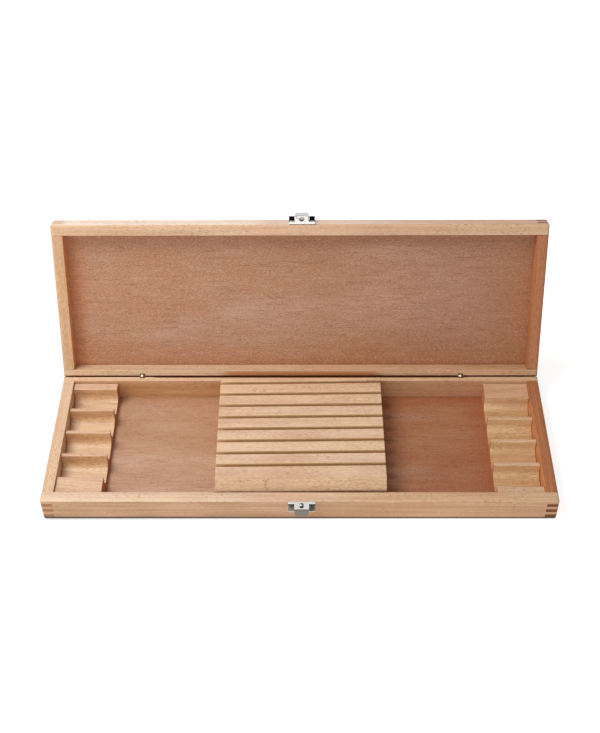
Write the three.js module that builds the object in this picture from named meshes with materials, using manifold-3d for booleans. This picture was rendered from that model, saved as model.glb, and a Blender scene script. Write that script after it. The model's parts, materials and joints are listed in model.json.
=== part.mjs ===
// Knife display case: a shallow beech box with a hinged lid, open as on a shop counter.
// Millimetres, +Z up. X runs along the case, the front is at -Y, the underside is at Z = 0
// and the origin is the middle of the underside.

import * as THREE from 'three';
import { RoundedBoxGeometry } from 'three/addons/geometries/RoundedBoxGeometry.js';
import { mergeVertices } from 'three/addons/utils/BufferGeometryUtils.js';
import Module from 'manifold-3d';

const wasm = await Module();
wasm.setup();

// Case: outer sizes, boards and panels
const caseLength = 470;
const caseDepth = 161.5;
const baseHeight = 26.2;
const lidHeight = 15.6;
const wallThickness = 10.9;
const floorThickness = 3.7;
const lidPanelThickness = 3.1;
const rebateDepth = 5;
const edgeRadius = 2.2;
const baseFingers = 7;
const lidFingers = 5;

// Fit: clearances between pieces
const rimGap = 0.3;
const runningGap = 0.3;
const lidFit = 0.25;
const stopGap = 0.2;
const restEndGap = 0.6;
const restWallGap = 0.3;

// Lid hinge: the axis is inside the rear walls, and bevels stop the lid at their outer edges
const hingeInset = 4.26;
const openAngle = THREE.MathUtils.degToRad(110.8);
const baseBevelLead = 1.1;
const lidBevelLead = 0.7;
const hingeSpacing = 315.4;
const hingeOffset = 0.9;
const barrelRadius = 2.4;
const lowerBarrelLength = 10;
const upperBarrelLength = 9;
const knuckleRadius = 2.4;
const knuckleWidth = 4.2;
const tongueThickness = 1.3;
const hingePinRadius = 0.75;

// Centre block: eight slots for the blades, cut a little askew in a block glued a little askew.
// Its front arris is planed off at 45 degrees.
const blockLength = 157;
const blockWallGap = 1.2;
const blockOffset = 0.9;
const blockTurn = THREE.MathUtils.degToRad(0.55);
const blockAboveRim = 5.35;
const blockBevel = 9.7;
const slotCount = 8;
const slotWidth = 3.9;
const slotDepth = 20;
const rearSlotToEdge = 5.6;
const frontSlotToBevel = 17.4;
const slotSkew = THREE.MathUtils.degToRad(0.27);

// Handle rests: one moulding, turned round for the other end
const restLength = 43;
const restBelowRim = 3;
const hollowCount = 4;
const hollowDepth = 13.6;
const hollowCorner = 7.5;
const ridgeWidth = 3.6;
const narrowFlat = 8.3;
const wideFlat = 19.4;

// Snap catch: two stamped plates, a stud and a slotted spring socket
const catchOffset = 2.3;
const catchWidth = 24.4;
const sheetThickness = 0.6;
const earHeight = 7.8;
const earLip = 2.3;
const earFoot = 5.4;
const tongueWidth = 13.2;
const tongueReach = 8.2;
const gripLength = 10.4;
const gripTaper = 0.6;
const studReach = 4.7;
const studHeadRadius = 1.9;
const studNeckRadius = 1.1;
const studHeight = 2.4;
const studFootRadius = 1.9;
const studFootHeight = 0.5;
const socketWall = 0.5;
const socketSlit = 0.5;
const nailHeadRadius = 2.1;
const nailHeadHeight = 1.5;
const nailShankRadius = 0.7;
const nailLength = 7.5;

// Worked out from the sizes above
const halfLength = caseLength / 2;
const halfDepth = caseDepth / 2;
const innerLength = caseLength - 2 * wallThickness;
const innerDepth = caseDepth - 2 * wallThickness;
const hingeY = halfDepth - hingeInset;
const hingeZ = baseHeight + rimGap / 2;
const bevelAngle = openAngle / 2;
const boreRadius = barrelRadius + runningGap;
const blockDepth = innerDepth - 2 * blockWallGap;
const blockHeight = baseHeight + blockAboveRim - floorThickness;
const slottedDepth = blockDepth - rearSlotToEdge - frontSlotToBevel - blockBevel;
const slotPitch = slottedDepth / (slotCount - 1);
const restDepth = innerDepth - 2 * restEndGap;
const restHeight = baseHeight - restBelowRim - floorThickness;
const ridgesTogether = (hollowCount - 1) * ridgeWidth;
const hollowWidth = (restDepth - narrowFlat - wideFlat - ridgesTogether) / hollowCount;
const studHoleRadius = studHeadRadius + runningGap;
const earWidth = (catchWidth - tongueWidth) / 2;
const nailX = (tongueWidth + earWidth) / 2;
const nailZ = (sheetThickness + earHeight) / 2;

// Solids: closed shapes that can be joined and cut

function toSolid(geometry) {
  const bare = geometry.clone();
  for (const name of Object.keys(bare.attributes)) {
    if (name !== 'position') bare.deleteAttribute(name);
  }
  const merged = mergeVertices(bare, 1e-4);
  const mesh = new wasm.Mesh({
    numProp: 3,
    vertProperties: new Float32Array(merged.attributes.position.array),
    triVerts: new Uint32Array(merged.index.array),
  });
  return new wasm.Manifold(mesh);
}

function toGeometry(solid) {
  const mesh = solid.getMesh();
  const geometry = new THREE.BufferGeometry();
  geometry.setAttribute('position', new THREE.BufferAttribute(new Float32Array(mesh.vertProperties), 3));
  geometry.setIndex(new THREE.BufferAttribute(new Uint32Array(mesh.triVerts), 1));
  geometry.computeVertexNormals();
  return geometry;
}

// A box between two values on each axis, in either order
function slab([x0, x1], [y0, y1], [z0, z1]) {
  const geometry = new THREE.BoxGeometry(Math.abs(x1 - x0), Math.abs(y1 - y0), Math.abs(z1 - z0));
  geometry.translate((x0 + x1) / 2, (y0 + y1) / 2, (z0 + z1) / 2);
  return toSolid(geometry);
}

// A bar along X with the outline given as points in Y and Z
function barAlongX(outline, x0, x1) {
  const shape = outline instanceof THREE.Shape ? outline : new THREE.Shape(outline);
  const geometry = new THREE.ExtrudeGeometry(shape, { depth: x1 - x0, bevelEnabled: false, curveSegments: 8 });
  geometry.applyMatrix4(new THREE.Matrix4().makeBasis(
    new THREE.Vector3(0, 1, 0),
    new THREE.Vector3(0, 0, 1),
    new THREE.Vector3(1, 0, 0),
  ));
  geometry.translate(x0, 0, 0);
  return toSolid(geometry);
}

// A plate square to Y with the outline given as points in X and Z
function plateAcrossY(outline, y0, y1) {
  const geometry = new THREE.ExtrudeGeometry(new THREE.Shape(outline), { depth: y1 - y0, bevelEnabled: false });
  geometry.rotateX(Math.PI / 2);
  geometry.translate(0, y1, 0);
  return toSolid(geometry);
}

// A round bar between two values on one axis, centred on the other two
function rod(axis, radius, from, to, [x, y, z], sides = 20) {
  const geometry = new THREE.CylinderGeometry(radius, radius, Math.abs(to - from), sides);
  geometry.rotateY(Math.PI / sides);
  if (axis === 'x') geometry.rotateZ(-Math.PI / 2);
  if (axis === 'z') geometry.rotateX(Math.PI / 2);
  const middle = (from + to) / 2;
  const shift = { x: [middle, 0, 0], y: [0, middle, 0], z: [0, 0, middle] }[axis];
  geometry.translate(x + shift[0], y + shift[1], z + shift[2]);
  return toSolid(geometry);
}

// A turned piece whose profile is radius against height, standing on the given point
function turned(profile, [x, y, z], sides = 24) {
  const geometry = new THREE.LatheGeometry(profile.map(([r, h]) => new THREE.Vector2(r, h)), sides);
  geometry.rotateX(Math.PI / 2);
  geometry.translate(x, y, z);
  return toSolid(geometry);
}

function joined(solids) {
  return solids.reduce((sum, solid) => sum.add(solid));
}

function cutBy(solid, cutters) {
  return cutters.reduce((rest, cutter) => rest.subtract(cutter), solid);
}

// Finishes: each sub-part gets a material of its own

const finishes = {
  beech: { color: 0xd9b48c, roughness: 0.6, metalness: 0 },
  beechVeneer: { color: 0xb98a68, roughness: 0.65, metalness: 0 },
  blockBeech: { color: 0xe0bf94, roughness: 0.6, metalness: 0 },
  nickel: { color: 0xc9c7c2, roughness: 0.25, metalness: 1 },
  steel: { color: 0x9a9791, roughness: 0.35, metalness: 1 },
};

function piece(name, finish, solid) {
  const material = new THREE.MeshStandardMaterial(finishes[finish]);
  material.name = finish;
  const mesh = new THREE.Mesh(toGeometry(solid), material);
  mesh.name = name;
  return mesh;
}

// Trays: the base and the lid are both four finger-jointed boards round a panel in a rebate.
// rimZ is the open side, faceZ the panel side, and toFace the sign of the way between them.

function outerShape({ rimZ, faceZ }) {
  const geometry = new RoundedBoxGeometry(caseLength, caseDepth, Math.abs(faceZ - rimZ), 3, edgeRadius);
  geometry.translate(0, 0, (rimZ + faceZ) / 2);
  return toSolid(geometry);
}

// The corner blocks that a board loses to the fingers of its neighbours, every second one
function fingerBlocks({ rimZ, faceZ, toFace, fingers, fit }, firstFinger, gapX, gapY) {
  const blocks = [];
  const over = toFace * edgeRadius;
  const finger = (faceZ - rimZ) / fingers;
  for (let i = firstFinger; i < fingers; i += 2) {
    const from = i === 0 ? rimZ - over : rimZ + i * finger - toFace * fit / 2;
    const to = i === fingers - 1 ? faceZ + over : rimZ + (i + 1) * finger + toFace * fit / 2;
    for (const sx of [-1, 1]) {
      for (const sy of [-1, 1]) {
        blocks.push(slab(
          [sx * (halfLength + edgeRadius), sx * (halfLength - wallThickness - gapX)],
          [sy * (halfDepth + edgeRadius), sy * (halfDepth - wallThickness - gapY)],
          [from, to],
        ));
      }
    }
  }
  return blocks;
}

// A wedge behind the hinge axis: what is planed off so that the open lid leans on the base.
// It starts on the rim in front of the axis and meets the other bevel at the rear face.
function bevelWedge(axisY, axisZ, toFace, lead) {
  const depth = hingeInset * Math.tan(bevelAngle) + stopGap / Math.cos(bevelAngle);
  const start = new THREE.Vector2(axisY - lead, axisZ + toFace * rimGap / 2);
  const end = new THREE.Vector2(axisY + hingeInset, axisZ + toFace * depth);
  const outline = [start.clone().lerp(end, -1), start.clone().lerp(end, 3)];
  outline.push(new THREE.Vector2(axisY + 4 * wallThickness, axisZ - toFace * wallThickness));
  return barAlongX(outline, -caseLength, caseLength);
}

// Room in a rear board for the barrels and knuckles of both hinges
function hingeBores(axisZ, toFace, barrelLength) {
  const bores = [];
  for (const side of [-1, 1]) {
    const x = hingeOffset + side * hingeSpacing / 2;
    const end = axisZ + toFace * (barrelLength + runningGap);
    const reach = knuckleWidth / 2 + runningGap;
    bores.push(rod('z', boreRadius, axisZ - toFace * barrelLength, end, [x, hingeY, 0]));
    bores.push(rod('x', knuckleRadius + runningGap, x - reach, x + reach, [0, hingeY, axisZ]));
  }
  return bores;
}

// Holes in a front board for the nails of its catch plate
function nailBores({ rimZ, toFace }) {
  return [-1, 1].map((side) => {
    const centre = [catchOffset + side * nailX, 0, rimZ + toFace * nailZ];
    return rod('y', nailShankRadius + runningGap, -halfDepth - edgeRadius, -halfDepth + nailLength, centre, 16);
  });
}

function makeTray(tray) {
  const { name, rimZ, faceZ, toFace, fit, panelThickness, barrelLength, bevelLead } = tray;
  const shell = outerShape(tray);
  const height = [rimZ, faceZ];
  const axisZ = rimZ - toFace * rimGap / 2;
  const panelX = innerLength / 2 + rebateDepth;
  const panelY = innerDepth / 2 + rebateDepth;
  const panelInside = faceZ - toFace * panelThickness;
  const rebate = slab(
    [-panelX - fit, panelX + fit],
    [-panelY - fit, panelY + fit],
    [faceZ + toFace * edgeRadius, panelInside - toFace * fit],
  );
  const bevel = bevelWedge(hingeY, axisZ, toFace, bevelLead);
  const shortFingers = fingerBlocks(tray, 1, fit, 0);
  const longFingers = fingerBlocks(tray, 0, 0, fit);

  const longBoard = (end) => {
    const board = slab([-halfLength, halfLength], [end * halfDepth, end * (halfDepth - wallThickness)], height);
    return cutBy(board.intersect(shell), [...shortFingers, rebate, bevel]);
  };
  const shortBoard = (end) => {
    const board = slab([end * halfLength, end * (halfLength - wallThickness)], [-halfDepth, halfDepth], height);
    return cutBy(board.intersect(shell), [...longFingers, rebate, bevel]);
  };

  return [
    piece(`${name}_front_wall`, 'beech', cutBy(longBoard(-1), nailBores(tray))),
    piece(`${name}_rear_wall`, 'beech', cutBy(longBoard(1), hingeBores(axisZ, toFace, barrelLength))),
    piece(`${name}_left_wall`, 'beech', shortBoard(-1)),
    piece(`${name}_right_wall`, 'beech', shortBoard(1)),
    piece(tray.panelName, 'beechVeneer', slab([-panelX, panelX], [-panelY, panelY], [faceZ, panelInside])),
  ];
}

// Centre block: glued to the floor and slotted for the blades
function makeCentreBlock() {
  const top = floorThickness + blockHeight;
  const half = blockDepth / 2;
  const outline = [
    new THREE.Vector2(-half, floorThickness),
    new THREE.Vector2(half, floorThickness),
    new THREE.Vector2(half, top),
    new THREE.Vector2(-half + blockBevel, top),
    new THREE.Vector2(-half, top - blockBevel),
  ];
  const block = barAlongX(outline, -blockLength / 2, blockLength / 2);
  const slots = [];
  for (let i = 0; i < slotCount; i++) {
    const slot = new THREE.BoxGeometry(1.2 * blockLength, slotWidth, 2 * slotDepth);
    slot.rotateZ(slotSkew);
    slot.translate(0, half - rearSlotToEdge - i * slotPitch, top);
    slots.push(toSolid(slot));
  }
  const mesh = piece('centre_block', 'blockBeech', cutBy(block, slots));
  mesh.position.x = blockOffset;
  mesh.rotation.z = blockTurn;
  return mesh;
}

// Handle rest: a moulding with round-bottomed hollows between narrow ridges
function restOutline() {
  const half = restDepth / 2;
  const arcHeight = restHeight - hollowDepth + hollowCorner;
  const shape = new THREE.Shape();
  shape.moveTo(half, 0);
  shape.lineTo(half, restHeight);
  for (let i = 0; i < hollowCount; i++) {
    const rear = half - narrowFlat - i * (hollowWidth + ridgeWidth);
    const front = rear - hollowWidth;
    shape.lineTo(rear, restHeight);
    shape.absarc(rear - hollowCorner, arcHeight, hollowCorner, 0, -Math.PI / 2, true);
    shape.absarc(front + hollowCorner, arcHeight, hollowCorner, -Math.PI / 2, -Math.PI, true);
    shape.lineTo(front, restHeight);
  }
  shape.lineTo(-half, restHeight);
  shape.lineTo(-half, 0);
  return shape;
}

function makeRest(name, end) {
  const rest = piece(name, 'beech', barAlongX(restOutline(), -restLength / 2, restLength / 2));
  rest.position.set(end * (innerLength / 2 - restWallGap - restLength / 2), 0, floorThickness);
  rest.rotation.z = end > 0 ? Math.PI : 0;
  return rest;
}

// Hinges: a forked barrel in the base, a tongued barrel in the lid and a pin through both,
// drawn about the hinge axis with the lid closed. Fork and tongue together make a ball.

const knuckleBall = toSolid(new THREE.SphereGeometry(knuckleRadius, 24, 16));
const knuckleColumn = rod('z', barrelRadius, -2 * knuckleRadius, 2 * knuckleRadius, [0, 0, 0]);
const pinHole = rod('x', hingePinRadius + runningGap, -knuckleWidth, knuckleWidth, [0, 0, 0], 16);

function makeLowerBarrel(name) {
  const barrel = rod('z', barrelRadius, -lowerBarrelLength, -rimGap / 2, [0, 0, 0]);
  const slitHalf = tongueThickness / 2 + runningGap;
  const slit = slab(
    [-slitHalf, slitHalf],
    [-2 * barrelRadius, 2 * barrelRadius],
    [-knuckleRadius - runningGap, 2 * knuckleRadius],
  );
  const body = barrel.subtract(bevelWedge(0, 0, -1, baseBevelLead));
  return piece(name, 'nickel', cutBy(body.add(knuckleBall.intersect(knuckleColumn)), [slit, pinHole]));
}

function makeUpperBarrel(name) {
  const barrel = rod('z', barrelRadius, rimGap / 2, upperBarrelLength, [0, 0, 0]);
  const bevelled = barrel.subtract(bevelWedge(0, 0, 1, lidBevelLead));
  const sweep = rod('x', knuckleRadius + runningGap, -2 * barrelRadius, 2 * barrelRadius, [0, 0, 0]);
  const halfTongue = tongueThickness / 2;
  const slice = slab([-halfTongue, halfTongue], [-knuckleRadius, knuckleRadius], [-knuckleRadius, knuckleRadius]);
  const eye = knuckleBall.intersect(slice);
  const neckBox = slab([-halfTongue, halfTongue], [-2 * barrelRadius, 0], [rimGap / 2, 2 * knuckleRadius]);
  const neck = neckBox.intersect(bevelled);
  return piece(name, 'nickel', joined([bevelled.subtract(sweep), eye, neck]).subtract(pinHole));
}

function makeHingePin(name) {
  return piece(name, 'steel', rod('x', hingePinRadius, -knuckleWidth / 2, knuckleWidth / 2, [0, 0, 0], 16));
}

// Snap catch: each half has the wood's face at y = 0 and the rim plane at z = 0, and toFace
// is -1 for the base, whose half hangs below the rim, and 1 for the lid

function catchHole(toFace, radius, x, z) {
  return rod('y', radius, -2 * sheetThickness, sheetThickness, [x, 0, toFace * z], 16);
}

function catchPlate(toFace, studHole) {
  const half = catchWidth / 2;
  const halfTongue = tongueWidth / 2;
  const bend = [0, toFace * sheetThickness];
  const foot = [toFace * (earHeight - sheetThickness), toFace * earHeight];
  const web = slab([-half, half], [-sheetThickness, 0], [0, toFace * earHeight]);
  const rimStrip = slab([-half, half], [-earLip, 0], bend);
  const tongue = slab([-halfTongue, halfTongue], [-tongueReach, 0], bend);
  const grip = plateAcrossY([
    new THREE.Vector2(-halfTongue, 0),
    new THREE.Vector2(halfTongue, 0),
    new THREE.Vector2(halfTongue - gripTaper, toFace * gripLength),
    new THREE.Vector2(-halfTongue + gripTaper, toFace * gripLength),
  ], -tongueReach, -tongueReach + sheetThickness);
  const feet = [-1, 1].map((side) => slab([side * (half - earWidth + runningGap), side * half], [-earFoot, 0], foot));
  const nailHoles = [-1, 1].map((side) => catchHole(toFace, nailShankRadius + runningGap, side * nailX, nailZ));
  const centreHole = rod('z', studHole, -2 * sheetThickness, 2 * sheetThickness, [0, -studReach, 0]);
  return cutBy(joined([web, rimStrip, tongue, grip, ...feet]), [...nailHoles, centreHole]);
}

// A domed head over a round neck that is riveted under the tongue
function makeStud() {
  const profile = [[0, -sheetThickness - studFootHeight]];
  profile.push([studFootRadius, -sheetThickness - studFootHeight]);
  profile.push([studFootRadius, -sheetThickness]);
  profile.push([studNeckRadius, -sheetThickness]);
  const headHalf = (studHeight - sheetThickness) / 2;
  const steps = 8;
  const neckAngle = Math.asin(studNeckRadius / studHeadRadius);
  for (let i = 0; i <= steps; i++) {
    const angle = Math.PI - neckAngle - (i / steps) * (Math.PI - neckAngle);
    profile.push([studHeadRadius * Math.sin(angle), studHeight - headHalf + headHalf * Math.cos(angle)]);
  }
  profile[profile.length - 1][0] = 0;
  return turned(profile, [0, 0, 0]);
}

// A thin cup over the hole in the lid's tongue, slit so that it springs over the stud
function makeSocket() {
  const inside = studHoleRadius;
  const outside = inside + socketWall;
  const from = sheetThickness + lidFit;
  const ceiling = studHeight + runningGap;
  const cup = turned([[inside, from], [outside, from], [outside, ceiling + socketWall], [0, ceiling + socketWall],
    [0, ceiling], [inside, ceiling], [inside, from]], [0, 0, 0]);
  const slits = [0, Math.PI / 2].map((angle) => {
    const slit = new THREE.BoxGeometry(4 * outside, socketSlit, 2 * (ceiling - from));
    slit.rotateZ(angle + Math.PI / 4);
    slit.translate(0, 0, from);
    return toSolid(slit);
  });
  return cutBy(cup, slits);
}

// A nail with a domed head whose shank runs into the wood along +Y
function makeNail() {
  const profile = [[0, -nailLength], [nailShankRadius, -nailLength + nailShankRadius], [nailShankRadius, 0]];
  const steps = 6;
  for (let i = 0; i <= steps; i++) {
    const angle = (i / steps) * Math.PI / 2;
    profile.push([nailHeadRadius * Math.cos(angle), nailHeadHeight * Math.sin(angle)]);
  }
  profile[profile.length - 1][0] = 0;
  const geometry = new THREE.LatheGeometry(profile.map(([r, h]) => new THREE.Vector2(r, h)), 20);
  geometry.rotateX(Math.PI);
  return toSolid(geometry);
}

function placed(mesh, x, y, z) {
  mesh.position.set(x, y, z);
  return mesh;
}

// Nails and plate of one catch half, with the plate's back the given gap off the wood
function makeCatchHalf(name, { rimZ, toFace, fit }, studHole) {
  const y = -halfDepth - fit;
  const parts = [placed(piece(`${name}_catch_plate`, 'nickel', catchPlate(toFace, studHole)), catchOffset, y, rimZ)];
  for (const [label, side] of [['left', -1], ['right', 1]]) {
    const nail = piece(`${name}_catch_nail_${label}`, 'steel', makeNail());
    parts.push(placed(nail, catchOffset + side * nailX, y - sheetThickness - fit, rimZ + toFace * nailZ));
  }
  return parts;
}

// Assembly: the base stands still, and the lid turns about the hinge axis

const base = {
  name: 'base',
  panelName: 'base_floor_panel',
  rimZ: baseHeight,
  faceZ: 0,
  toFace: -1,
  fingers: baseFingers,
  fit: 0,
  panelThickness: floorThickness,
  barrelLength: lowerBarrelLength,
  bevelLead: baseBevelLead,
};
const lid = {
  name: 'lid',
  panelName: 'lid_panel',
  rimZ: 0,
  faceZ: lidHeight,
  toFace: 1,
  fingers: lidFingers,
  fit: lidFit,
  panelThickness: lidPanelThickness,
  barrelLength: upperBarrelLength,
  bevelLead: lidBevelLead,
};

const knifeCase = new THREE.Group();
knifeCase.add(...makeTray(base));
knifeCase.add(makeCentreBlock(), makeRest('left_rest', -1), makeRest('right_rest', 1));
knifeCase.add(...makeCatchHalf('base', base, studNeckRadius + runningGap));
knifeCase.add(placed(piece('catch_stud', 'nickel', makeStud()), catchOffset, -halfDepth - studReach, baseHeight));

const lidPivot = new THREE.Group();
lidPivot.position.set(0, hingeY, hingeZ);
lidPivot.rotation.x = -openAngle;
knifeCase.add(lidPivot);

const closedLid = new THREE.Group();
closedLid.position.set(0, -hingeY, rimGap / 2);
closedLid.add(...makeTray(lid));
closedLid.add(...makeCatchHalf('lid', lid, studHoleRadius));
closedLid.add(placed(piece('catch_socket', 'nickel', makeSocket()), catchOffset, -halfDepth - studReach, 0));
lidPivot.add(closedLid);

for (const [label, side] of [['left', -1], ['right', 1]]) {
  const x = hingeOffset + side * hingeSpacing / 2;
  knifeCase.add(placed(makeLowerBarrel(`${label}_hinge_lower_barrel`), x, hingeY, hingeZ));
  knifeCase.add(placed(makeHingePin(`${label}_hinge_pin`), x, hingeY, hingeZ));
  lidPivot.add(placed(makeUpperBarrel(`${label}_hinge_upper_barrel`), x, 0, 0));
}

export default knifeCase;
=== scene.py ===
import json
import math
import bpy
from mathutils import Matrix, Vector


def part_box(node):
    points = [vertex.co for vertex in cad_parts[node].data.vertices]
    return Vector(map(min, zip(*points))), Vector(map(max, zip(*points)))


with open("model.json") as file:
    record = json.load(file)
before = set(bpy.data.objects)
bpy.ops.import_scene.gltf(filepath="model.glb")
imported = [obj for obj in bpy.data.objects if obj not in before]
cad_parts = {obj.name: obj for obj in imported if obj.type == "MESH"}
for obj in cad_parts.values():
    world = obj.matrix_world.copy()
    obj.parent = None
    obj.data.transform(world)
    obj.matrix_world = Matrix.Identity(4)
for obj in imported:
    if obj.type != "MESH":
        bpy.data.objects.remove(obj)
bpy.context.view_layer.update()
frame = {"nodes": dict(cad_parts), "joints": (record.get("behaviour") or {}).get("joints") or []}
print("frame loaded with", len(frame["nodes"]), "nodes")

# A knife display case in beech, open on a white ground. Metres, front at -Y, the underside at Z = 0.
nodes = frame["nodes"]
lidHinge = frame["joints"][0]
openAngle = math.radians(lidHinge["range_deg"][1])
hingePoint = Vector(lidHinge["pos_m"])
mm = 0.001

# What the looks are laid out from, in mm on the closed case
hingeY = hingePoint.y / mm
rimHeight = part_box("base_front_wall")[1].z / mm
blockLow, blockHigh = (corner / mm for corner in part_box("centre_block"))
plateLow, plateHigh = (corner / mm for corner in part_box("base_catch_plate"))


def toLinear(hexColour):
    channels = [int(hexColour[i:i + 2], 16) / 255 for i in (1, 3, 5)]
    return [c / 12.92 if c <= 0.04045 else ((c + 0.055) / 1.055) ** 2.4 for c in channels] + [1.0]


def addNode(tree, kind, inputs=None, **settings):
    node = tree.nodes.new(kind)
    for name, value in settings.items():
        setattr(node, name, value)
    for name, value in (inputs or {}).items():
        if isinstance(value, bpy.types.NodeSocket):
            tree.links.new(value, node.inputs[name])
        else:
            node.inputs[name].default_value = value
    return node


def newMaterial(name):
    material = bpy.data.materials.new(name)
    material.use_nodes = True
    tree = material.node_tree
    tree.nodes.clear()
    return material, tree


def giveMaterial(piece, material):
    piece.data.materials.clear()
    piece.data.materials.append(material)


# Where the patterns lie: object space, turned so that X runs along the grain of the board.
# On the lid's pieces it is turned back to the closed lid first. Facing is the normal, turned alike.
def grainSpace(tree, look):
    place = addNode(tree, "ShaderNodeTexCoord")
    turn = (openAngle if look["onLid"] else 0, 0, math.pi / 2 if look["grain"] == "y" else 0)
    along = addNode(tree, "ShaderNodeMapping", {
        "Vector": place.outputs["Object"], "Rotation": turn, "Location": look["cut"]})
    facing = addNode(tree, "ShaderNodeMapping", {
        "Vector": place.outputs["Normal"], "Rotation": turn}, vector_type="VECTOR")
    return place, along.outputs[0], addNode(tree, "ShaderNodeSeparateXYZ", {0: facing.outputs[0]})


# The place on the closed case of a point of the object, the lid's pieces turned back onto the base
def closedPlace(tree, place, onLid):
    closed = place.outputs["Object"]
    if onLid:
        shift = hingePoint - Matrix.Rotation(openAngle, 3, "X") @ hingePoint
        closed = addNode(tree, "ShaderNodeMapping", {
            "Vector": closed, "Rotation": (openAngle, 0, 0), "Location": shift}).outputs[0]
    return addNode(tree, "ShaderNodeSeparateXYZ", {0: closed})


# A cloudy pattern drawn out along X, its length and width in mm
def stretchedPattern(tree, space, length, width, detail, output="Fac"):
    scale = (1 / (length * mm), 1 / (width * mm), 1 / (width * mm))
    drawn = addNode(tree, "ShaderNodeVectorMath", {0: space, 1: scale}, operation="MULTIPLY")
    return addNode(tree, "ShaderNodeTexNoise", {
        "Vector": drawn.outputs[0], "Scale": 1.0, "Detail": detail}).outputs[output]


# How much is left of a share where all ramps hold. A ramp is a value, where it begins and where it
# is full, in either order, and if not 0, how much it leaves before it begins.
def shareWhere(tree, ramps, share=1.0):
    for value, begin, full, *before in ramps:
        ramp = addNode(tree, "ShaderNodeMapRange", {
            "Value": value, "From Min": begin, "From Max": full, "To Min": before[0] if before else 0.0},
            interpolation_type="SMOOTHSTEP")
        both = addNode(tree, "ShaderNodeMath", {0: share, 1: ramp.outputs[0]}, operation="MULTIPLY")
        share = both.outputs[0]
    return share


# A ramp whose limits are in mm
def mmRamp(value, begin, full):
    return value, begin * mm, full * mm


# Lays a tone over the colour below, as far as the ramps let it
def layTone(tree, below, tone, ramps, share=1.0):
    below, tone = (toLinear(colour) if isinstance(colour, str) else colour for colour in (below, tone))
    return addNode(tree, "ShaderNodeMix", {
        0: shareWhere(tree, ramps, share), 6: below, 7: tone}, data_type="RGBA").outputs[2]


# Lays layer after layer: the pattern, its values where the layer begins and is full, how strong it
# is, as a number or as an entry of the look, and its tone
def layPatterns(tree, colour, layers, patterns, tones, look):
    for pattern, begin, full, strength, tone in layers:
        share = look.get(strength, strength)
        colour = layTone(tree, colour, tones[tone], [(patterns[pattern], begin, full)], share)
    return colour


# Painted light and shade fading across a board: axis, from and to in mm on the closed case, and the other
# tone
def paintedShadingTone(tree, spot, tone, shadingFades):
    for axis, begin, full, other in shadingFades:
        tone = layTone(tree, tone, other, [mmRamp(spot.outputs[axis], begin, full)])
    return tone


# The surface of oiled wood: its finest pattern also changes the gloss, and there is a faint relief
def finishWood(tree, colour, grain, relief, finish, shine=0.5):
    bump = addNode(tree, "ShaderNodeBump", {
        "Height": relief, "Strength": finish["reliefStrength"], "Distance": finish["relief"] * mm})
    low, high = finish["grainSpan"]
    smooth, rough = finish["roughness"]
    gloss = addNode(tree, "ShaderNodeMapRange", {
        "Value": grain, "From Min": low, "From Max": high, "To Min": smooth, "To Max": rough},
        interpolation_type="SMOOTHSTEP")
    surface = addNode(tree, "ShaderNodeBsdfPrincipled", {
        "Base Color": colour, "Roughness": gloss.outputs[0], "IOR": finish["ior"],
        "Specular IOR Level": shine, "Normal": bump.outputs[0]})
    addNode(tree, "ShaderNodeOutputMaterial", {"Surface": surface.outputs[0]})


# Beech: planed, sanded and oiled. To the eye it is a pale pinkish tan with long faint growth lines,
# short dark flecks along the grain, and end grain that drinks more oil and turns brown.
# Patterns: length and width in mm, and detail. Their values lie round 0.5, mostly from 0.3 to 0.7.
beechPatterns = {
    "bands": (170, 9, 3.0),     # slow changes of tone along the board
    "lines": (80, 1.0, 2.0),    # growth lines
    "flecks": (3.4, 0.6, 0.5),  # cut rays, really 0.3 mm wide, drawn wider to show
    "grain": (4.0, 0.55, 1.0),  # the close grain between the flecks
    "clouds": (60, 30, 1.5),    # pinkish clouds
    "crowds": (45, 14, 1.0),    # places where the flecks stand closer
    "tears": (2.4, 0.8, 2.0),   # fibres torn out along an arris
    "pores": (0.5, 0.5, 1.0),   # open pores on end grain
}
beechLayers = {
    "broad": [("bands", 0.56, 0.30, 0.6, "pale"), ("bands", 0.46, 0.70, "bands", "dark"),
              ("clouds", 0.50, 0.70, "clouds", "cloud"),
              ("lines", 0.52, 0.66, "lines", "dark"), ("lines", 0.48, 0.34, "lines", "pale")],
    "fine": [("grain", 0.50, 0.34, "grainy", "dark"), ("grain", 0.52, 0.68, "grainy", "pale")],
}
# Pairs: where something begins and where it is full
beechLook = {
    "darkening": 0.62, "paling": 0.55,            # how far a dark or a pale mark changes a board's tone
    "fleck": (0.58, 0.65),                        # value of the pattern
    "crowd": (0.36, 0.66, 0.2),                   # the same, and what is left of the flecks outside
    "frontShadingFull": -0.9, "rearShadingTurn": (0.7, 0.9),      # how far a side is turned where its painted light or shade shows
    "endTurn": (0.55, 0.85),                      # how far a face is turned where it is end grain
    "pore": (0.42, 0.62), "poreStrength": 0.4,
    "poreShade": 0.45,                            # the pores' tone is this much of the end grain's
    "shine": 0.5, "endShine": -0.35, "streakShine": -0.5,
    "streakEnds": 5, "streakEdge": 0.3,           # mm, how softly a streak of painted shade comes in
    "rubbedFoot": (4.4, 3.2), "rubbedStrength": 0.95,  # mm above the ground, painted shade along the foot
    "tear": (0.53, 0.68), "tearStrength": 0.75, "tearTone": "#8A5A38",
    "arrisTurn": (-0.2, -0.4), "arrisEdge": 0.5,  # mm, how softly the torn flecks come in
    "relief": 0.08, "reliefStrength": 0.25,       # mm
    "fleckRelief": -0.7,                          # the flecks lie lower
    "grainSpan": (0.3, 0.7), "roughness": (0.41, 0.55),
    "ior": 1.46,
}


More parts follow.
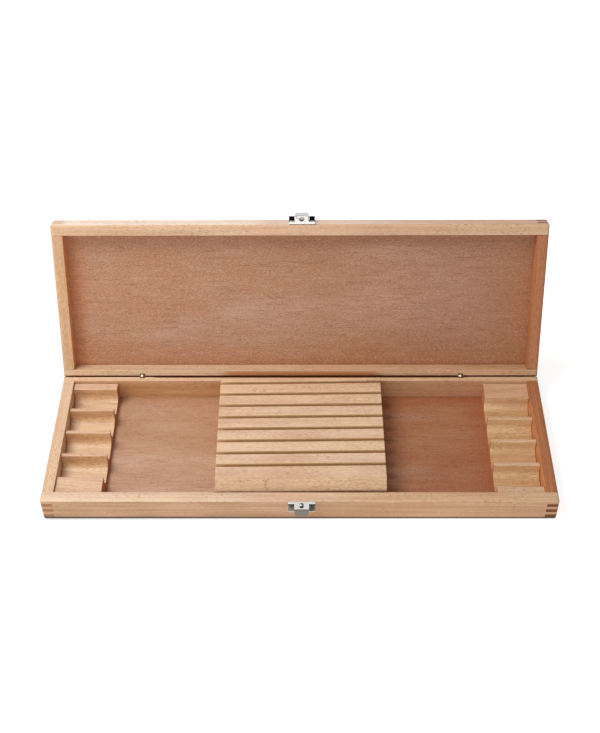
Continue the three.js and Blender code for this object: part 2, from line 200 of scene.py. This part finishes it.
def makeBeech(name, look):
    material, tree = newMaterial(name)
    place, straight, facing = grainSpace(tree, look)
    space = addNode(tree, "ShaderNodeMapping", {
        "Vector": straight, "Rotation": (0, 0, math.radians(look["slant"]))}).outputs[0]
    spot = closedPlace(tree, place, look["onLid"])
    patterns = {pattern: stretchedPattern(tree, space, *size) for pattern, size in beechPatterns.items()}

    # what darkens or pales a board does it to any of its tones
    body = boardTone(tree, spot, facing, look)
    tones = {"cloud": look["cloud"],
             "dark": layTone(tree, body, look["dark"], [], beechLook["darkening"]),
             "pale": layTone(tree, body, look["pale"], [], beechLook["paling"])}
    colour = layPatterns(tree, body, beechLayers["broad"], patterns, tones, look)
    crowd = (patterns["crowds"], *beechLook["crowd"])
    flecks = shareWhere(tree, [(patterns["flecks"], *beechLook["fleck"]), crowd], look["flecks"])
    colour = layTone(tree, colour, tones["dark"], [], flecks)
    colour = layPatterns(tree, colour, beechLayers["fine"], patterns, tones, look)

    colour, ends = layEndGrain(tree, colour, facing, patterns["pores"], toLinear(look["endGrain"]))
    colour, shine = layShadeStreaks(tree, colour, spot, ends, look["shadeStreaks"])
    # painted shade along the foot of a wall
    if "rubbed" in look:
        foot = [mmRamp(spot.outputs["Z"], *beechLook["rubbedFoot"])]
        colour = layTone(tree, colour, look["rubbed"], foot, beechLook["rubbedStrength"])
    if "arrisFlecks" in look:
        tears = [(patterns["tears"], *beechLook["tear"]), crowd]
        colour = layArrisFlecks(tree, colour, spot, facing, tears, look["arrisFlecks"])
    if look["sawn"]:
        colour = laySawnWalls(tree, colour, space, spot, facing)
    for mark in look["marks"]:
        colour = layMark(tree, colour, place, mark)

    relief = addNode(tree, "ShaderNodeMath", {0: flecks, 1: beechLook["fleckRelief"], 2: patterns["grain"]},
                     operation="MULTIPLY_ADD").outputs[0]
    finishWood(tree, colour, patterns["grain"], relief, beechLook, shine)
    return material


# A board's own tone, with its fades of painted light and shade, and the painted light or shade of its sides
def boardTone(tree, spot, facing, look):
    body = paintedShadingTone(tree, spot, look["body"], look["shadingFades"])
    if "frontShading" in look:
        near = paintedShadingTone(tree, spot, look["frontShading"], look["frontShadingFades"])
        body = layTone(tree, body, near, [(facing.outputs["Y"], look["frontShadingFrom"], beechLook["frontShadingFull"])])
    if "rearShading" in look:
        body = layTone(tree, body, look["rearShading"], [(facing.outputs["Y"], *beechLook["rearShadingTurn"])])
    return body


# End grain, darker in its open pores, and the share of it
def layEndGrain(tree, colour, facing, pores, tone):
    poreTone = [beechLook["poreShade"] * channel for channel in tone[:3]] + [1.0]
    tone = layTone(tree, tone, poreTone, [(pores, *beechLook["pore"])], beechLook["poreStrength"])
    endOn = addNode(tree, "ShaderNodeMath", {0: facing.outputs["X"]}, operation="ABSOLUTE").outputs[0]
    ends = shareWhere(tree, [(endOn, *beechLook["endTurn"])])
    return layTone(tree, colour, tone, [], ends), ends


# Streaks of painted shade along a joint: the block's shadow, and the shade in the gaps by the block and at
# the hinge line. They shine less, and so does end grain.
def layShadeStreaks(tree, colour, spot, ends, streaks):
    shine = addNode(tree, "ShaderNodeMath", {0: ends, 1: beechLook["endShine"], 2: beechLook["shine"]},
                    operation="MULTIPLY_ADD").outputs[0]
    soft, edge = beechLook["streakEnds"], beechLook["streakEdge"]
    for left, right, start, tone, strength in streaks:
        beyond = shareWhere(tree, [mmRamp(spot.outputs["Y"], start - edge, start + edge)], strength)
        sides = [mmRamp(spot.outputs["X"], left - soft, left + soft),
                 mmRamp(spot.outputs["X"], right + soft, right - soft)]
        colour = layTone(tree, colour, tone, sides, beyond)
        shine = addNode(tree, "ShaderNodeMath", {0: beyond, 1: beechLook["streakShine"], 2: shine},
                        operation="MULTIPLY_ADD", use_clamp=True).outputs[0]
    return colour, shine


# Flecks torn out along an arris, between two heights in mm
def layArrisFlecks(tree, colour, spot, facing, tears, heights):
    (low, high), edge = heights, beechLook["arrisEdge"]
    arris = [*tears, (facing.outputs["Y"], *beechLook["arrisTurn"]),
             mmRamp(spot.outputs["Z"], low, low + edge), mmRamp(spot.outputs["Z"], high, high - edge)]
    return layTone(tree, colour, beechLook["tearTone"], arris, beechLook["tearStrength"])


# The slots' walls are painted pale, as painted light against the shade inside the slots. Just below
# the block's top they are ragged and brown where the saw tore the fibres, and darker with depth as painted
# shade.
sawnLook = {
    "paintedWallLight": "#FFDFAE", "tornAndShaded": "#A0642C", "strength": 0.34,
    "depth": (0.2, 3.0),        # mm below the block's top where the torn and shaded tone begins and is full
    "ragged": 3.4,              # mm
    "fibres": (3.4, 1.4, 1.5),
    "turn": (0.8, 0.95),        # how far a slot's wall is turned to the front or the rear
    "front": 12, "rear": 3,     # mm of the block in front of all slots and behind them
    "soft": 1,                  # mm
}


def laySawnWalls(tree, colour, space, spot, facing):
    upright = addNode(tree, "ShaderNodeMath", {0: facing.outputs["Y"]}, operation="ABSOLUTE").outputs[0]
    front, rear, soft = blockLow.y + sawnLook["front"], blockHigh.y - sawnLook["rear"], sawnLook["soft"]
    walls = [(upright, *sawnLook["turn"]), mmRamp(spot.outputs["Y"], front, front + soft),
             mmRamp(spot.outputs["Y"], rear, rear - soft)]
    # the fibres move the depth up and down by half of ragged
    ragged = sawnLook["ragged"]
    depth = addNode(tree, "ShaderNodeMath", {0: (blockHigh.z - 0.5 * ragged) * mm, 1: spot.outputs["Z"]},
                    operation="SUBTRACT").outputs[0]
    fibres = stretchedPattern(tree, space, *sawnLook["fibres"])
    tornAndShaded = addNode(tree, "ShaderNodeMath", {0: fibres, 1: ragged * mm, 2: depth},
                   operation="MULTIPLY_ADD").outputs[0]
    # painted light on the slot walls, then their torn brown and painted shade
    colour = layTone(tree, colour, sawnLook["paintedWallLight"], walls)
    return layTone(tree, colour, sawnLook["tornAndShaded"], [*walls, mmRamp(tornAndShaded, *sawnLook["depth"])],
                   sawnLook["strength"])


# A knot or a small bruise, all in mm: a soft round spot, or where it has a hollow, a line bent round
# the left of its centre, which comes in between two distances to the left
def layMark(tree, colour, place, mark):
    centre = [v * mm for v in mark["at"]]
    away = addNode(tree, "ShaderNodeVectorMath", {0: place.outputs["Object"], 1: centre},
                   operation="DISTANCE").outputs["Value"]
    shape = [mmRamp(away, mark["radius"] + mark["soft"], mark["radius"])]
    if "hollow" in mark:
        spot = addNode(tree, "ShaderNodeSeparateXYZ", {0: place.outputs["Object"]})
        begin, full = mark["leftOf"]
        shape += [mmRamp(away, mark["hollow"] - mark["soft"], mark["hollow"]),
                  mmRamp(spot.outputs["X"], mark["at"][0] - begin, mark["at"][0] - full)]
    return layTone(tree, colour, mark["tone"], shape, mark["strength"])


# What a board may set. Cut is where in the tree it was sawn, in metres, and slant how its grain runs
# askew, in degrees. The sides turned to -Y and +Y, to -X and +X where the grain runs along Y, may
# have painted light or shade of their own, with how far turned the first one starts. Fadings of painted
# light and shade: axis, from and to in mm, and the tone there. Streaks of painted shade: from and to
# along X, from where along Y in mm, tone and strength. Arris flecks: from and to along Z in mm.
everyBoard = {
    "body": "#CDA681", "pale": "#E4C39C", "dark": "#93602F", "cloud": "#D0A085", "endGrain": "#8F5A38",
    "bands": 0.45, "lines": 0.3, "flecks": 0.9, "grainy": 0.3, "clouds": 0.6, "slant": 0, "onLid": False,
    "shadingFades": [], "frontShadingFades": [], "frontShadingFrom": -0.7, "shadeStreaks": [], "sawn": False, "marks": [],
}
boardLooks = {
    "base_front_wall": {
        # painted sheen on the rim, fading off to the right
        "grain": "x", "cut": (0.31, 0.10, 0.02), "body": "#D9BDA2", "shadingFades": [("X", -60, 120, "#CCA581")],
        # painted shade on the front face, fading lighter to the right
        "frontShading": "#B48C67", "frontShadingFades": [("X", -150, 150, "#C6976E")],
        # painted shade in the gap by the block, and along the foot
        "shadeStreaks": [(blockLow.x, blockHigh.x, blockLow.y - 1, "#713F1F", 0.85)], "rubbed": "#331C10",
        "lines": 0.42, "arrisFlecks": (rimHeight - 2.6, rimHeight - 0.4)},
    "base_rear_wall": {
        # painted light fading off to the right
        "grain": "x", "cut": (0.83, 0.02, 0.05), "body": "#CEAC8D", "shadingFades": [("X", -120, 60, "#C69F7C")],
        # painted light and shade on the inner face, fading to the right
        "frontShading": "#CF9C6C", "frontShadingFades": [("X", -60, 120, "#D4A279")],
        # painted shade along the hinge line
        "shadeStreaks": [(-145, 165, hingeY - 2.2, "#5A2C12", 0.85), (-240, 240, hingeY - 1.2, "#8E4814", 0.85)]},
    "base_left_wall": {
        "grain": "y", "cut": (0.12, 0.07, 0.01), "body": "#D2B090", "endGrain": "#A8774E",
        # painted shade along the foot
        "rubbed": "#331C10", "grainy": 0.4},
    "base_right_wall": {
        # painted light on the inner face
        "grain": "y", "cut": (0.55, 0.03, 0.02), "body": "#A66134", "frontShading": "#CE864E", "pale": "#CC9664",
        # painted shade along the foot
        "dark": "#663714", "cloud": "#9C5634", "endGrain": "#784012", "rubbed": "#331C10",
        "grainy": 0.4, "bands": 0.8, "lines": 0.6},
    "lid_front_wall": {
        "grain": "x", "onLid": True, "cut": (0.47, 0.09, 0.03), "body": "#CEA887",
        # painted sheen on the outer face, fading off to the right
        "frontShading": "#F1DCCB", "frontShadingFades": [("X", -60, 200, "#C39477")]},
    "lid_rear_wall": {
        "grain": "x", "onLid": True, "cut": (0.21, 0.04, 0.04), "body": "#CFAF8E",
        # painted light fading off to the right
        "shadingFades": [("X", -60, 160, "#C29975")],
        # painted shadow of the block, and painted shade along the hinge line
        "shadeStreaks": [(-74, 76, hingeY - 5.3, "#BC835A", 0.95), (-240, 240, hingeY - 0.4, "#8E4814", 0.85)]},
    "lid_left_wall": {
        # painted bounce light on the inner face
        "grain": "y", "onLid": True, "cut": (0.66, 0.05, 0.02), "body": "#BE956E", "rearShading": "#EE9754",
        "endGrain": "#D6B798", "grainy": 0.4},
    "lid_right_wall": {
        "grain": "y", "onLid": True, "cut": (0.91, 0.08, 0.01), "body": "#AC683B", "pale": "#C38A5A",
        "dark": "#74421F", "cloud": "#A8643E", "endGrain": "#64342A", "bands": 0.6, "grainy": 0.4},
    "left_rest": {
        "grain": "x", "cut": (0.16, 0.02, 0.06), "slant": 5, "body": "#D3AE91",
        # painted light low in the hollows and on their steep walls
        "shadingFades": [("Z", 21, 12, "#DFBE99")], "frontShading": "#DDB082", "frontShadingFrom": -0.1,
        # end grain painted lighter against the shade on the rest's end face
        "endGrain": "#BD7249", "lines": 0.5},
    "right_rest": {
        "grain": "x", "cut": (0.38, 0.06, 0.05), "slant": -4, "body": "#C49772",
        # painted light on the ridges and steep walls, painted shade low in the hollows
        "shadingFades": [("Y", 50, 40, "#D5AE8E"), ("Z", 21, 12, "#C49769")], "frontShading": "#F0CC9C",
        "frontShadingFrom": -0.1, "endGrain": "#B87C52", "lines": 0.5},
    "centre_block": {
        "grain": "x", "cut": (0.72, 0.03, 0.07), "body": "#D1AB86", "cloud": "#C9A084",
        # painted light and shade from front to rear, and painted shade below the rim in the gap by the front
        # wall
        "shadingFades": [("Y", -64, -46, "#DEBEA0"), ("Y", 20, 62, "#D9B490"),
                    ("Z", rimHeight - 2.1, rimHeight - 2.4, "#5A2A10")],
        "endGrain": "#A87650", "bands": 0.35, "grainy": 0.4, "sawn": True,
        "arrisFlecks": (blockHigh.z - 2.15, blockHigh.z - 0.05),
        "marks": [
            {"at": (11.7, 17.1, 31.0), "radius": 0.8, "soft": 0.8, "strength": 0.9, "tone": "#3E2210"},
            {"at": (-25.6, -62.3, 28.0), "radius": 5.8, "hollow": 5.0, "soft": 0.5, "leftOf": (1.16, 3.48),
             "strength": 0.5, "tone": "#9A6640"}]},
}
for nodeName, look in boardLooks.items():
    title = "oiled beech " + nodeName.replace("_", " ")
    giveMaterial(nodes[nodeName], makeBeech(title, {**everyBoard, **look}))
print("beech boards finished")

# Peeled beech veneer on the two thin panels. To the eye it is duller and redder than the boards,
# sown all over with tiny wavy flecks like wet sand, in slow slanting bands.
# Patterns: how they lie, length and width in mm, and detail
veneerPatterns = {
    "flecks": ("wavy", 2.0, 0.45, 1.0),
    "lines": ("wavy", 60, 1.0, 1.0),
    "ripples": ("wavy", 30, 5, 1.0),
    "bands": ("slanted", 180, 30, 2.5),
    "blotches": ("straight", 120, 60, 1.0),
}
veneerLayers = {
    "broad": [("bands", 0.50, 0.34, "bands", "pale"), ("bands", 0.50, 0.68, "bands", "edge"),
              ("blotches", 0.42, 0.66, 0.6, "edge")],
    "fine": [("ripples", 0.42, 0.62, 0.25, "edge"), ("ripples", 0.46, 0.30, 0.12, "pale"),
             ("lines", 0.58, 0.70, 0.5, "dark"),
             ("flecks", 0.50, 0.64, "flecks", "dark"), ("flecks", 0.48, 0.34, "flecks", "pale")],
}
veneerLook = {
    "slant": 3.0,                                # degrees, the bands against the panel's edge
    "wander": (22, 9, 1.0), "wanderWidth": 6,    # how the wavy patterns wander, and how far in mm
    "innerTurn": 0.2,                            # how far the panel's inner face is turned inwards
    "relief": 0.1, "reliefStrength": 0.4,        # mm
    "grainSpan": (0.3, 0.7), "roughness": (0.45, 0.58),
    "ior": 1.46,
}


def makeVeneer(name, look):
    material, tree = newMaterial(name)
    place, straight, facing = grainSpace(tree, look)
    slanted = addNode(tree, "ShaderNodeMapping", {
        "Vector": straight, "Rotation": (0, 0, math.radians(veneerLook["slant"]))}).outputs[0]
    wander = stretchedPattern(tree, straight, *veneerLook["wander"], "Color")
    width = veneerLook["wanderWidth"] * mm
    wavy = addNode(tree, "ShaderNodeVectorMath", {0: wander, 1: (0, width, width), 2: straight},
                   operation="MULTIPLY_ADD").outputs[0]
    spaces = {"straight": straight, "slanted": slanted, "wavy": wavy}
    patterns = {pattern: stretchedPattern(tree, spaces[way], *size)
                for pattern, (way, *size) in veneerPatterns.items()}
    spot = closedPlace(tree, place, look["onLid"])
    turning = mmRamp(spot.outputs["X"], *look["turning"])
    tones = {part: layTone(tree, look[part], look["then"][part], [turning])
             for part in ("body", "pale", "dark", "edge")}

    colour = layPatterns(tree, tones["body"], veneerLayers["broad"], patterns, tones, look)
    innerTurn = veneerLook["innerTurn"] * (-1 if look["onLid"] else 1)
    inner = (facing.outputs["Z"], -innerTurn, innerTurn)
    # painted shade and painted bounce light along the walls
    for axis, begin, full, strength, tone in look["shadeAndBounceBorders"]:
        shadeBorder = [mmRamp(spot.outputs[axis], begin, full), inner]
        colour = layTone(tree, colour, tones.get(tone, tone), shadeBorder, strength)
    colour = layPatterns(tree, colour, veneerLayers["fine"], patterns, tones, look)
    finishWood(tree, colour, patterns["flecks"], patterns["flecks"], veneerLook)
    return material


# A panel turns redder along X, from where to where in mm, to the colours under "then". Along the walls
# its inner face has painted shade and painted bounce light. Borders: axis, from and to in mm, strength,
# and "edge" or a tone of its own.
panelLooks = {
    "base_floor_panel": {
        "grain": "x", "onLid": False, "cut": (0.05, 0.04, 0.03), "bands": 0.5, "flecks": 0.32,
        "body": "#BB9275", "pale": "#C8A48B", "dark": "#8A5C40", "edge": "#A97B58", "turning": (40, 85),
        "then": {"body": "#A46E4A", "pale": "#B2886C", "dark": "#74452A", "edge": "#9B5733"},
        "shadeAndBounceBorders": [("Y", 50, 66, 0.8, "edge"), ("X", 145, 185, 0.9, "edge")]},
    "lid_panel": {
        "grain": "x", "onLid": True, "cut": (0.94, 0.01, 0.02), "bands": 0.32, "flecks": 0.38,
        "body": "#AE886E", "pale": "#C7A288", "dark": "#784A31", "edge": "#A66D47", "turning": (-60, 60),
        "then": {"body": "#AC8065", "pale": "#C49A7C", "dark": "#74452A", "edge": "#9C643D"},
        "shadeAndBounceBorders": [("X", 70, 150, 0.7, "#A0715A"), ("Y", 25, 66, 0.9, "edge"), ("X", 150, 216, 0.8, "edge"),
                    ("Y", -45, -68, 0.8, "edge"), ("X", -200, -222, 0.95, "#C47C4A")]},
}
for nodeName, look in panelLooks.items():
    giveMaterial(nodes[nodeName], makeVeneer("beech veneer " + nodeName.replace("_", " "), look))
print("veneer finished")

# Bright nickel plate on stamped steel: a mirror with a faint warm tint and fine wipe marks. On the
# catch plates the ears are dark and matt, and the grips duller.
nickelLook = {
    "roughness": 0.22,
    "smoother": 0.07, "rougher": 0.09,       # how far the wipe marks change it
    "wipes": (3.33, 0.4, 2.0),               # their length and width in mm, and detail
    "relief": 0.03, "reliefStrength": 0.08,  # mm
    "highlightSide": (-0.47, -0.37, 0.80),         # the side of a turned piece with the painted highlight, above left
}
# Steel wire and nails: duller than the plate, and the base's nails painted nearly black as painted shade
steelLook = {"wire": "#B4B0A9", "shaded": "#45413C", "roughness": 0.34}


# Dull: where the metal is so rough that it shows no reflections, from 0 to 1
# Matt cover: where a flat matt surface in the metal's colour hides the metal, from 0 to 1. To the eye it is
# flat and nearly black.
def finishMetal(tree, place, colour, roughness, dull=0.0, mattCover=None):
    wipes = stretchedPattern(tree, place.outputs["Object"], *nickelLook["wipes"])
    low, high = roughness - nickelLook["smoother"], roughness + nickelLook["rougher"]
    gloss = addNode(tree, "ShaderNodeMapRange", {"Value": wipes, "To Min": low, "To Max": high})
    gloss = addNode(tree, "ShaderNodeMath", {0: gloss.outputs[0], 1: dull}, operation="MAXIMUM")
    bump = addNode(tree, "ShaderNodeBump", {
        "Height": wipes, "Strength": nickelLook["reliefStrength"], "Distance": nickelLook["relief"] * mm})
    surface = addNode(tree, "ShaderNodeBsdfPrincipled", {
        "Base Color": colour, "Metallic": 1.0, "Roughness": gloss.outputs[0],
        "Normal": bump.outputs[0]}).outputs[0]
    if mattCover is not None:
        mattSurface = addNode(tree, "ShaderNodeBsdfDiffuse", {"Color": colour, "Roughness": 1.0})
        surface = addNode(tree, "ShaderNodeMixShader", {0: mattCover, 1: surface, 2: mattSurface.outputs[0]}).outputs[0]
    addNode(tree, "ShaderNodeOutputMaterial", {"Surface": surface})


def makeSteel(name, tint):
    material, tree = newMaterial(name)
    finishMetal(tree, addNode(tree, "ShaderNodeTexCoord"), toLinear(tint), steelLook["roughness"])
    return material


# A small turned piece: a painted highlight on the side turned above left, and painted shade round it
def makeTurned(name, look):
    material, tree = newMaterial(name)
    place = addNode(tree, "ShaderNodeTexCoord")
    highlightSide = addNode(tree, "ShaderNodeVectorMath", {0: place.outputs["Normal"], 1: nickelLook["highlightSide"]},
                      operation="DOT_PRODUCT").outputs["Value"]
    colour = layTone(tree, look["dull"], look["bright"], [(highlightSide, look["from"], look["to"])])
    finishMetal(tree, place, colour, nickelLook["roughness"])
    return material


# A catch plate: bright tongue and strips, dark ears round the nails, a duller grip whose tones are
# painted reflection, darker on the base's plate and lighter on the lid's. Its zones are laid out in mm
# on the closed case, each with where it begins and where it is full.
catchLook = {
    "ear": (6.5, 6.8),                            # from the catch's middle
    "strip": (0.35, 0.7), "foot": (7.7, 7.4),     # from the rim
    "earTop": (2.0, 2.9), "earFoot": (5.9, 5.0),  # the darkest part of an ear, from the rim
    "bend": (0.8, 3.4),                           # the grip past its bend, from the rim
    "grip": (1.15, 0.85),                         # from the front of the grip
    "gripRoughness": 0.6,
}


def makePlate(name, look):
    material, tree = newMaterial(name)
    place = addNode(tree, "ShaderNodeTexCoord")
    spot = closedPlace(tree, place, look["onLid"])
    distances = []
    for axis, start in (("X", (plateLow.x + plateHigh.x) / 2), ("Y", plateLow.y), ("Z", look["rim"])):
        offset = addNode(tree, "ShaderNodeMath", {0: spot.outputs[axis], 1: start * mm},
                         operation="SUBTRACT").outputs[0]
        distances.append(addNode(tree, "ShaderNodeMath", {0: offset}, operation="ABSOLUTE").outputs[0])
    aside, fromFront, fromRim = distances
    pastStrip = mmRamp(fromRim, *catchLook["strip"])
    ear = shareWhere(tree, [mmRamp(aside, *catchLook["ear"]), pastStrip, mmRamp(fromRim, *catchLook["foot"])])
    grip = shareWhere(tree, [mmRamp(fromFront, *catchLook["grip"]), pastStrip])
    darkest = [mmRamp(fromRim, *catchLook["earTop"]), mmRamp(fromRim, *catchLook["earFoot"])]
    colour = layTone(tree, look["bright"], layTone(tree, look["ear"], look["earMiddle"], darkest), [], ear)
    gripTone = layTone(tree, look["bend"], look["grip"], [mmRamp(fromRim, *catchLook["bend"])])
    colour = layTone(tree, colour, gripTone, [], grip)
    dull = addNode(tree, "ShaderNodeMath", {0: grip, 1: catchLook["gripRoughness"]}, operation="MULTIPLY")
    mattCover = addNode(tree, "ShaderNodeMath", {0: ear, 1: look["mattCover"]}, operation="MULTIPLY")
    finishMetal(tree, place, colour, nickelLook["roughness"], dull.outputs[0], mattCover.outputs[0])
    return material


lidRim = 2 * hingePoint.z / mm - rimHeight  # the hinge axis is halfway between the two rims
# painted shade dulls the lid's plate against a lamp's reflection; grips and bends are painted reflection
plateLooks = {
    "base_catch_plate": {"onLid": False, "rim": rimHeight, "bright": "#D6D4D0", "ear": "#ADA8A0",
                         "earMiddle": "#605A53", "bend": "#524E49", "grip": "#706C64", "mattCover": 0.6},
    "lid_catch_plate": {"onLid": True, "rim": lidRim, "bright": "#97948F", "ear": "#1A1616",
                        "earMiddle": "#0C0A0A", "bend": "#A9A8A9", "grip": "#B6B5B6", "mattCover": 0.97},
}
# painted highlight and painted shade on the hinge barrels and on the catch's stud and socket
barrelLook = {"dull": "#8A7358", "bright": "#CDBEA6", "from": 0.3, "to": 0.85}
turnedLooks = {
    "catch_stud": {"dull": "#34302D", "bright": "#8F8C87", "from": 0.5, "to": 0.85},
    "catch_socket": {"dull": "#2A2625", "bright": "#8C8885", "from": 0.3, "to": 0.9},
}
wireSteel = makeSteel("drawn steel", steelLook["wire"])
# painted shade: the base catch's nails darker than the lid's
shadedNailSteel = makeSteel("blackened steel nail", steelLook["shaded"])
for nodeName, piece in nodes.items():
    title = nodeName.replace("_", " ")
    if nodeName in plateLooks:
        giveMaterial(piece, makePlate("nickel plate " + title, plateLooks[nodeName]))
    elif nodeName in turnedLooks or nodeName.endswith("barrel"):
        giveMaterial(piece, makeTurned("nickel " + title, turnedLooks.get(nodeName, barrelLook)))
    elif "nail" in nodeName or nodeName.endswith("pin"):
        giveMaterial(piece, shadedNailSteel if nodeName.startswith("base_catch") else wireSteel)
print("metals finished")

# Arrises: the wood's are eased by a pass of fine paper, the sheet metal's by the barrelling drum.
# The boards keep the sharp arrises of their hinge bevels, which meet when the lid is open.
easing = {
    "wood": 0.35, "metal": 0.2,    # mm
    "angle": 40, "wallAngle": 60,  # degrees, edges that turn more than this are eased, walls apart
    "flatAngle": 0.5,              # degrees, faces that differ by less are joined first
    "weld": 0.001,                 # mm, and so are points that are closer than this
}
for nodeName, piece in nodes.items():
    weld = piece.modifiers.new("weld", "WELD")
    weld.merge_threshold = easing["weld"] * mm
    flat = piece.modifiers.new("flat", "DECIMATE")
    flat.decimate_type = "DISSOLVE"
    flat.angle_limit = math.radians(easing["flatAngle"])
    arris = piece.modifiers.new("arris", "BEVEL")
    arris.width = easing["wood" if nodeName in boardLooks or nodeName in panelLooks else "metal"] * mm
    arris.segments = 2
    arris.limit_method = "ANGLE"
    arris.angle_limit = math.radians(easing["wallAngle" if nodeName.endswith("wall") else "angle"])
print("arrises eased")

# Studio: three soft boxes, white surroundings and a floor in flat white paint, to the eye one even
# white with the case's shadow on it. The floor is lifted to white where the lamps light it less.
# Glows: which way, from where to where in metres, and how strong at either end
stageLook = {
    "floor": "#EDECEA", "floorHalf": 6, "floorDrop": 0.2,  # m, and mm below the case
    "glows": [("front to back", 0.1, 0.7, 0, 0.38), ("front to back", -0.07, -0.09, 0, 0.4),
              ("left to right", -0.32, 0.25, 0.08, 0.7), ("outwards", 0.45, 1.3, 0, 1.2)],
    "ambient": 0.32, "boxSize": 0.6, "boxDistance": 1.2,  # m
}
# Power in watts, and degrees round the case from its front and up
softBoxes = {
    "high left soft box": {"power": 10.6, "round": -90, "up": 62},
    "low left soft box": {"power": 4.0, "round": -60, "up": 15},
    "low front soft box": {"power": 2.6, "round": 0, "up": 15},
}


def addSoftBox(name, box):
    light = bpy.data.lights.new(name, "AREA")
    light.size = stageLook["boxSize"]
    light.energy = box["power"]
    side, up = math.radians(box["round"]), math.radians(box["up"])
    aim = Vector((math.sin(side) * math.cos(up), -math.cos(side) * math.cos(up), math.sin(up)))
    lamp = bpy.data.objects.new(name, light)
    lamp.location = aim * stageLook["boxDistance"]
    lamp.rotation_euler = (-aim).to_track_quat("-Z", "Y").to_euler()
    bpy.context.scene.collection.objects.link(lamp)


# 1 for what the camera sees, directly, in metal or through glass, and 0 for what lights the case
def seenDirectly(tree):
    ray = addNode(tree, "ShaderNodeLightPath")
    seen = ray.outputs["Is Camera Ray"]
    for kind in ("Is Glossy Ray", "Is Transmission Ray"):
        either = addNode(tree, "ShaderNodeMath", {0: seen, 1: ray.outputs[kind]}, operation="MAXIMUM")
        seen = either.outputs[0]
    return seen


def makeFloorPaint(name):
    material, tree = newMaterial(name)
    place = addNode(tree, "ShaderNodeTexCoord").outputs["Object"]
    ground = addNode(tree, "ShaderNodeSeparateXYZ", {0: place})
    outwards = addNode(tree, "ShaderNodeVectorMath", {0: place}, operation="LENGTH").outputs["Value"]
    ways = {"left to right": ground.outputs["X"], "front to back": ground.outputs["Y"], "outwards": outwards}
    lift = 0.0
    for way, begin, full, low, high in stageLook["glows"]:
        glow = addNode(tree, "ShaderNodeMapRange", {
            "Value": ways[way], "From Min": begin, "From Max": full, "To Min": low, "To Max": high},
            interpolation_type="SMOOTHSTEP")
        lift = addNode(tree, "ShaderNodeMath", {0: lift, 1: glow.outputs[0]}, operation="ADD").outputs[0]
    paint = addNode(tree, "ShaderNodeBsdfDiffuse", {"Color": toLinear(stageLook["floor"])})
    glow = addNode(tree, "ShaderNodeEmission", {"Color": (1, 1, 1, 1), "Strength": lift})
    bright = addNode(tree, "ShaderNodeAddShader", {0: paint.outputs[0], 1: glow.outputs[0]})
    whole = addNode(tree, "ShaderNodeMixShader", {
        0: seenDirectly(tree), 1: paint.outputs[0], 2: bright.outputs[0]})
    addNode(tree, "ShaderNodeOutputMaterial", {"Surface": whole.outputs[0]})
    return material


half = stageLook["floorHalf"]
floorMesh = bpy.data.meshes.new("floor")
floorMesh.from_pydata([(-half, -half, 0), (half, -half, 0), (half, half, 0), (-half, half, 0)],
                      [], [(0, 1, 2, 3)])
floor = bpy.data.objects.new("floor", floorMesh)
floor.location.z = -stageLook["floorDrop"] * mm
bpy.context.scene.collection.objects.link(floor)
giveMaterial(floor, makeFloorPaint("painted floor"))

world = bpy.data.worlds.new("studio")
bpy.context.scene.world = world
world.use_nodes = True
tree = world.node_tree
tree.nodes.clear()
lit = addNode(tree, "ShaderNodeBackground", {"Color": (1, 1, 1, 1), "Strength": stageLook["ambient"]})
white = addNode(tree, "ShaderNodeBackground", {"Color": (1, 1, 1, 1), "Strength": 1.0})
both = addNode(tree, "ShaderNodeMixShader", {0: seenDirectly(tree), 1: lit.outputs[0], 2: white.outputs[0]})
addNode(tree, "ShaderNodeOutputWorld", {"Surface": both.outputs[0]})

for boxName, box in softBoxes.items():
    addSoftBox(boxName, box)
print("studio lit")

# Camera: from the front and well above, at the photograph's angle. Place in mm, angles in degrees,
# lens and sensor in mm
cameraLook = {"place": (12.16, -757.51, 890.91), "angles": (44.4217, 0.4494, 0.3844), "lens": 59.4255,
              "sensor": 36, "nearest": 50}
cameraData = bpy.data.cameras.new("camera")
cameraData.lens = cameraLook["lens"]
cameraData.sensor_width = cameraLook["sensor"]
cameraData.clip_start = cameraLook["nearest"] * mm
camera = bpy.data.objects.new("camera", cameraData)
camera.location = [v * mm for v in cameraLook["place"]]
camera.rotation_euler = [math.radians(angle) for angle in cameraLook["angles"]]
bpy.context.scene.collection.objects.link(camera)
bpy.context.scene.camera = camera
bpy.context.scene.view_settings.view_transform = "Standard"
print("camera placed")
